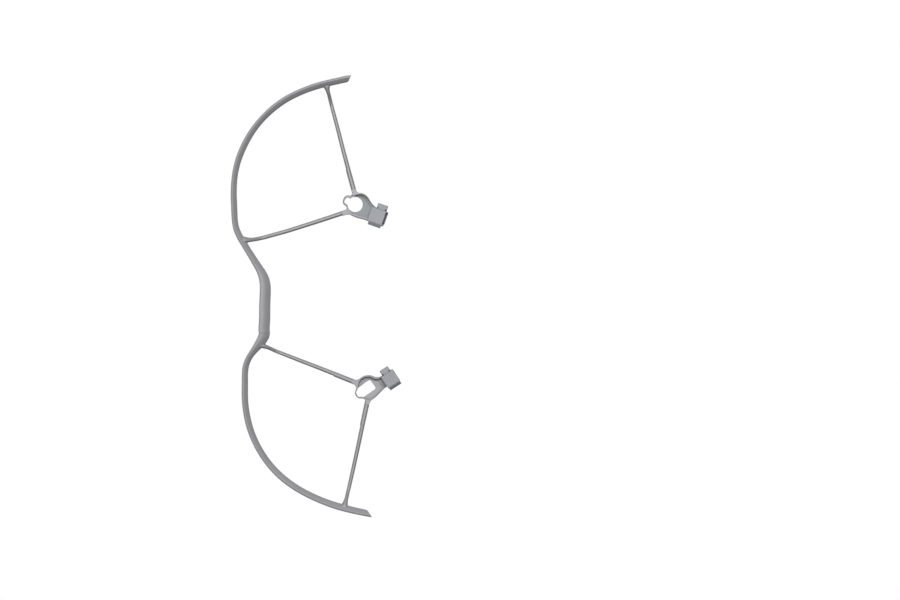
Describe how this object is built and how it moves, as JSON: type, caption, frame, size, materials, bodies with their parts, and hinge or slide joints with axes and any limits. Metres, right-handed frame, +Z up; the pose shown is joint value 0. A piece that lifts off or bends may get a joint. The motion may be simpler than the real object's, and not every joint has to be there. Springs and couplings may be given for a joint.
{
  "type": "drone propeller guard",
  "caption": "Clip-on guard for one side of a folding drone: rim arcs joined by a bridge bar, spokes to motor cradles, and hinged straps that clamp the arms.",
  "frame": {"origin": "bottom centre of the bounding box, on the underside of the two cradles", "axes": "+Z up, along the motor axes; +Y towards the drone's nose; +X from the guard's rim towards the drone's body"},
  "size_m": [0.1806, 0.4683, 0.0269],
  "materials": {
    "frame_plastic": "fine satin moulded grey",
    "strap_plastic": "fine satin moulded bluish grey",
    "pin_steel": "turned steel",
    "pad_rubber": "dark matt rubber"
  },
  "bodies": {
    "guard": {"front_frame": "frame_plastic", "rear_frame": "frame_plastic", "front_hinge_pin": "pin_steel", "rear_hinge_pin": "pin_steel", "front_arm_pad": "pad_rubber", "rear_arm_pad": "pad_rubber"},
    "front_strap": {"front_strap": "strap_plastic"},
    "rear_strap": {"rear_strap": "strap_plastic"}
  },
  "joints": [
    {"name": "front_strap_hinge", "type": "hinge", "parent": "guard", "child": "front_strap", "pos_m": [0.06171, 0.07609, 0.0025], "axis": [0.9429, -0.333, 0], "range_deg": [0, 90]},
    {"name": "rear_strap_hinge", "type": "hinge", "parent": "guard", "child": "rear_strap", "pos_m": [0.08357, -0.09507, 0.0025], "axis": [0.8387, 0.5446, 0], "range_deg": [0, 90]}
  ]
}
